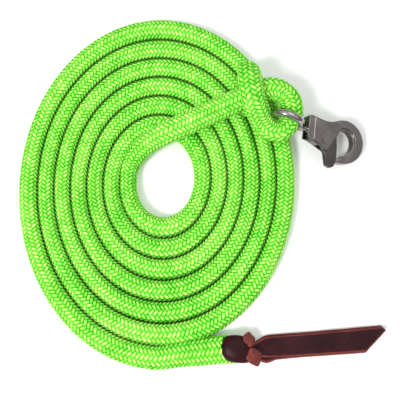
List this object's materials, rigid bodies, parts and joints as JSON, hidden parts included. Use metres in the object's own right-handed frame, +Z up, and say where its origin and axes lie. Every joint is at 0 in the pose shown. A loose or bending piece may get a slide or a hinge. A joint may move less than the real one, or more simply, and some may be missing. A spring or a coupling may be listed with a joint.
{
  "type": "horse lead rope",
  "caption": "Braided lead rope laid in a flat coil, its noose holding a bull snap by the swivel eye, with a leather popper at the tail.",
  "frame": {"origin": "on the floor under the middle of the laid-out lead's bounding box", "axes": "+Z up from the floor, +X from the coil towards the snap and the popper's tip, +Y away from the popper across the coil"},
  "size_m": [0.3177, 0.3139, 0.0532],
  "materials": {
    "rope": "lime green braided polypropylene",
    "snap_metal": "polished gunmetal plating on cast metal",
    "rivet_metal": "gunmetal",
    "spring_steel": "bright wire",
    "leather": "dark burgundy latigo leather, waxed"
  },
  "bodies": {
    "lead": {"rope_coil": "rope", "rope_tail": "rope", "standing_part": "rope", "noose": "rope", "swivel_eye": "snap_metal", "popper_loop": "leather", "popper_lower_tail": "leather"},
    "snap_frame": {"snap_body": "snap_metal", "trigger_rivet": "rivet_metal", "trigger_spring": "spring_steel"},
    "trigger_arm": {"trigger": "snap_metal"},
    "popper_tail": {"popper_upper_tail": "leather"}
  },
  "joints": [
    {"name": "snap_swivel", "type": "hinge", "parent": "lead", "child": "snap_frame", "pos_m": [0.0985, 0.0465, 0.02346], "axis": [0.8908, -0.2894, -0.3502], "continuous": true},
    {"name": "trigger_pivot", "type": "hinge", "parent": "snap_frame", "child": "trigger_arm", "pos_m": [0.10898, 0.03784, 0.01873], "axis": [-0.3331, 0.1082, -0.9367], "range_deg": [0, 28], "stiffness_Nm_per_rad": 0.3, "springref_deg": -17.19},
    {"name": "popper_spread", "type": "hinge", "parent": "lead", "child": "popper_tail", "pos_m": [0.0478, -0.1418, 0.0033], "axis": [0.0663, -0.9978, 0], "range_deg": [0, 35], "stiffness_Nm_per_rad": 0.02}
  ]
}
